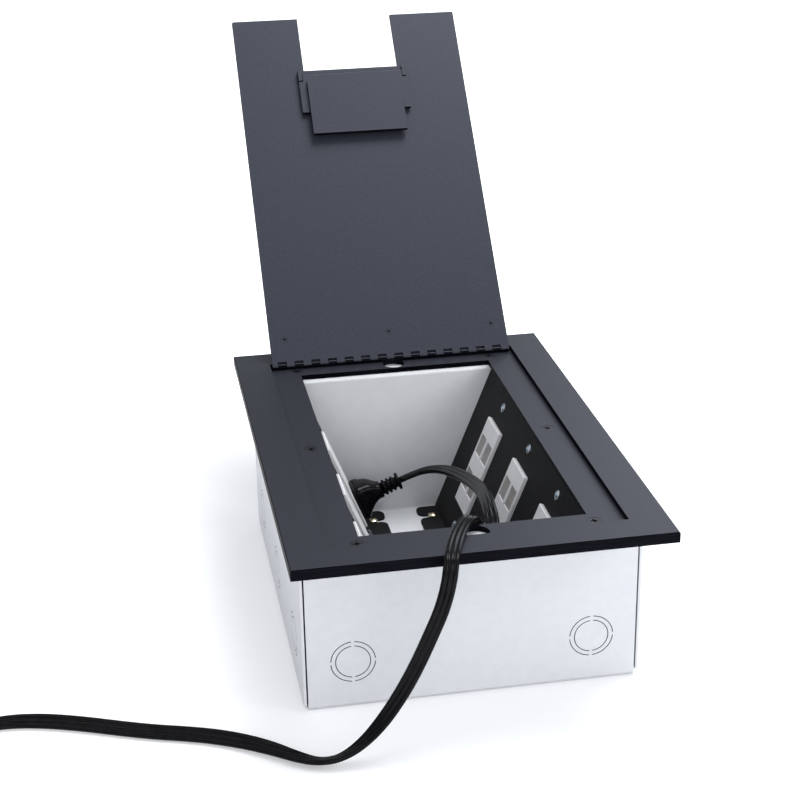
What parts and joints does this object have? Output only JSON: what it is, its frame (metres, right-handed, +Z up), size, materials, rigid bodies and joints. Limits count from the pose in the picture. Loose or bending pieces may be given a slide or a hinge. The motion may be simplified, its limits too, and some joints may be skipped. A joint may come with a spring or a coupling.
{
  "type": "floor socket box",
  "caption": "Rectangular in-floor socket box with a hinged lid, a flap over the lid's cable notch, and leaning panels of power and data outlets.",
  "frame": {"origin": "middle of the box's underside", "axes": "+X to the right, +Y from the cable-notch end to the hinge end, +Z up out of the opening; the lid is stored open"},
  "size_m": [0.5462, 0.5487, 0.3352],
  "materials": {
    "charcoal_coat": "satin powder coat",
    "black_coat": "matt powder coat",
    "white_enamel": "satin white paint",
    "dark_screw": "dark coated steel",
    "nickel_screw": "nickel plate",
    "zinc_screw": "blue zinc plate",
    "zinc_plate": "zinc-plated steel strip",
    "light_plastic": "smooth moulded",
    "grey_plastic": "fine textured",
    "housing_plastic": "plain moulded",
    "brass_blade": "bright",
    "black_rubber": "soft PVC, satin"
  },
  "bodies": {
    "box": {"back_box": "white_enamel", "ledge_plate": "charcoal_coat", "trim_ring": "charcoal_coat", "ledge_screws": "dark_screw", "ring_screws": "dark_screw", "right_device_panel": "black_coat", "left_device_panel": "black_coat", "panel_foot_screws": "nickel_screw", "right_device_screws": "zinc_screw", "left_device_screws": "zinc_screw", "data_insert_front": "light_plastic", "data_port_blanks_front": "grey_plastic", "data_strap_front": "zinc_plate", "receptacle_face_front": "light_plastic", "receptacle_strap_front": "zinc_plate", "receptacle_body_front": "housing_plastic", "data_insert_middle": "light_plastic", "data_port_blanks_middle": "grey_plastic", "data_strap_middle": "zinc_plate", "receptacle_face_middle": "light_plastic", "receptacle_strap_middle": "zinc_plate", "receptacle_body_middle": "housing_plastic", "data_insert_back": "light_plastic", "data_port_blanks_back": "grey_plastic", "data_strap_back": "zinc_plate", "receptacle_face_back": "light_plastic", "receptacle_strap_back": "zinc_plate", "receptacle_body_back": "housing_plastic", "hinge_frame_leaf": "charcoal_coat", "hinge_pin": "dark_screw", "plug_body": "black_rubber", "plug_blades": "brass_blade", "plug_strain_relief": "black_rubber", "cord_run": "black_rubber", "cord_coil": "black_rubber", "cord_tail": "black_rubber", "cord_connector": "black_rubber"},
    "lid": {"lid_plate": "charcoal_coat", "hinge_lid_leaf": "charcoal_coat", "lid_hinge_screws": "dark_screw", "door_hinge_lugs": "charcoal_coat", "cable_door_pin": "dark_screw"},
    "cable_door": {"cable_door_plate": "charcoal_coat", "cable_door_backing": "charcoal_coat"}
  },
  "joints": [
    {"name": "lid_hinge", "type": "hinge", "parent": "box", "child": "lid", "pos_m": [0, 0.1459, 0.1189], "axis": [1, 0, 0], "range_deg": [0, 130]},
    {"name": "cable_door_hinge", "type": "hinge", "parent": "lid", "child": "cable_door", "pos_m": [0, 0.30707, 0.29731], "axis": [-1, 0, 0], "range_deg": [0, 180]}
  ]
}
